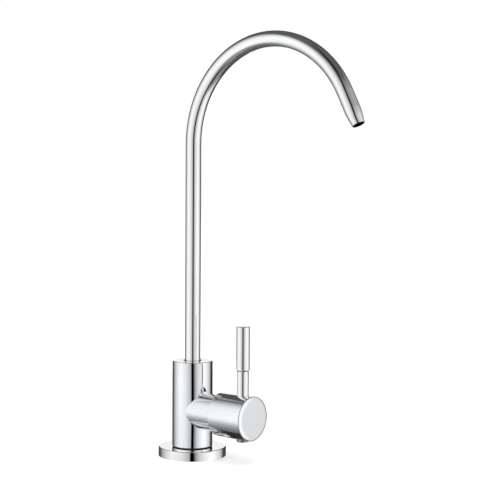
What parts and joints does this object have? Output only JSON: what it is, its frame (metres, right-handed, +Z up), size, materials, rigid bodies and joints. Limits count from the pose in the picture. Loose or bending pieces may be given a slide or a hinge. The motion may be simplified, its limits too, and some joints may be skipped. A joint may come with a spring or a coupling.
{
  "type": "drinking water filter tap",
  "caption": "Deck-mounted drinking water tap with a swivelling gooseneck spout, a side lever valve, a round flange and a threaded shank.",
  "frame": {"origin": "centre of the flange's underside, which rests on the worktop", "axes": "+Z up along the body and the spout's riser, +X forwards, the way the spout reaches and the valve's stub points, +Y to the left seen from the tap's back"},
  "size_m": [0.1537, 0.0434, 0.3213],
  "materials": {
    "chrome_base": "polished chrome plate on brass",
    "chrome_body": "polished chrome plate on brass",
    "chrome_handle": "polished chrome plate on brass",
    "chrome_grip": "polished chrome plate on brass",
    "chrome_spout": "polished chrome plate on a drawn tube",
    "turned_brass": "as turned",
    "zinc_steel": "zinc plated",
    "spring_steel": "stainless, bright",
    "black_rubber": "moulded, matt",
    "black_acetal": "moulded",
    "white_ceramic": "ground and lapped"
  },
  "bodies": {
    "base": {"base_flange": "chrome_base", "deck_gasket": "black_rubber", "base_seal": "black_rubber", "tap_body": "chrome_body", "shank": "turned_brass", "shank_seal": "black_rubber", "rubber_washer": "black_rubber", "backing_washer": "zinc_steel", "lock_washer": "zinc_steel", "mounting_nut": "turned_brass", "headwork_body": "turned_brass", "headwork_seal": "black_rubber", "seat_seal": "black_rubber", "fixed_disc": "white_ceramic", "spout_bush": "black_acetal"},
    "spout": {"spout_tube": "chrome_spout", "spout_spigot": "turned_brass", "spout_seal_lower": "black_rubber", "spout_seal_upper": "black_rubber", "spout_snap_ring": "spring_steel"},
    "handle": {"handle_cap": "chrome_handle", "handle_screw": "spring_steel", "lever_rod": "chrome_handle", "lever_grip": "chrome_grip", "valve_spindle": "turned_brass", "spindle_seal_inner": "black_rubber", "spindle_seal_outer": "black_rubber", "stop_ring": "turned_brass", "spindle_clip": "spring_steel", "moving_disc": "white_ceramic"}
  },
  "joints": [
    {"name": "spout_swivel", "type": "hinge", "parent": "base", "child": "spout", "pos_m": [0, 0, 0.0614], "axis": [0, 0, 1], "continuous": true},
    {"name": "handle_turn", "type": "hinge", "parent": "base", "child": "handle", "pos_m": [0.0425, 0, 0.0296], "axis": [1, 0, 0], "range_deg": [0, 90]}
  ]
}
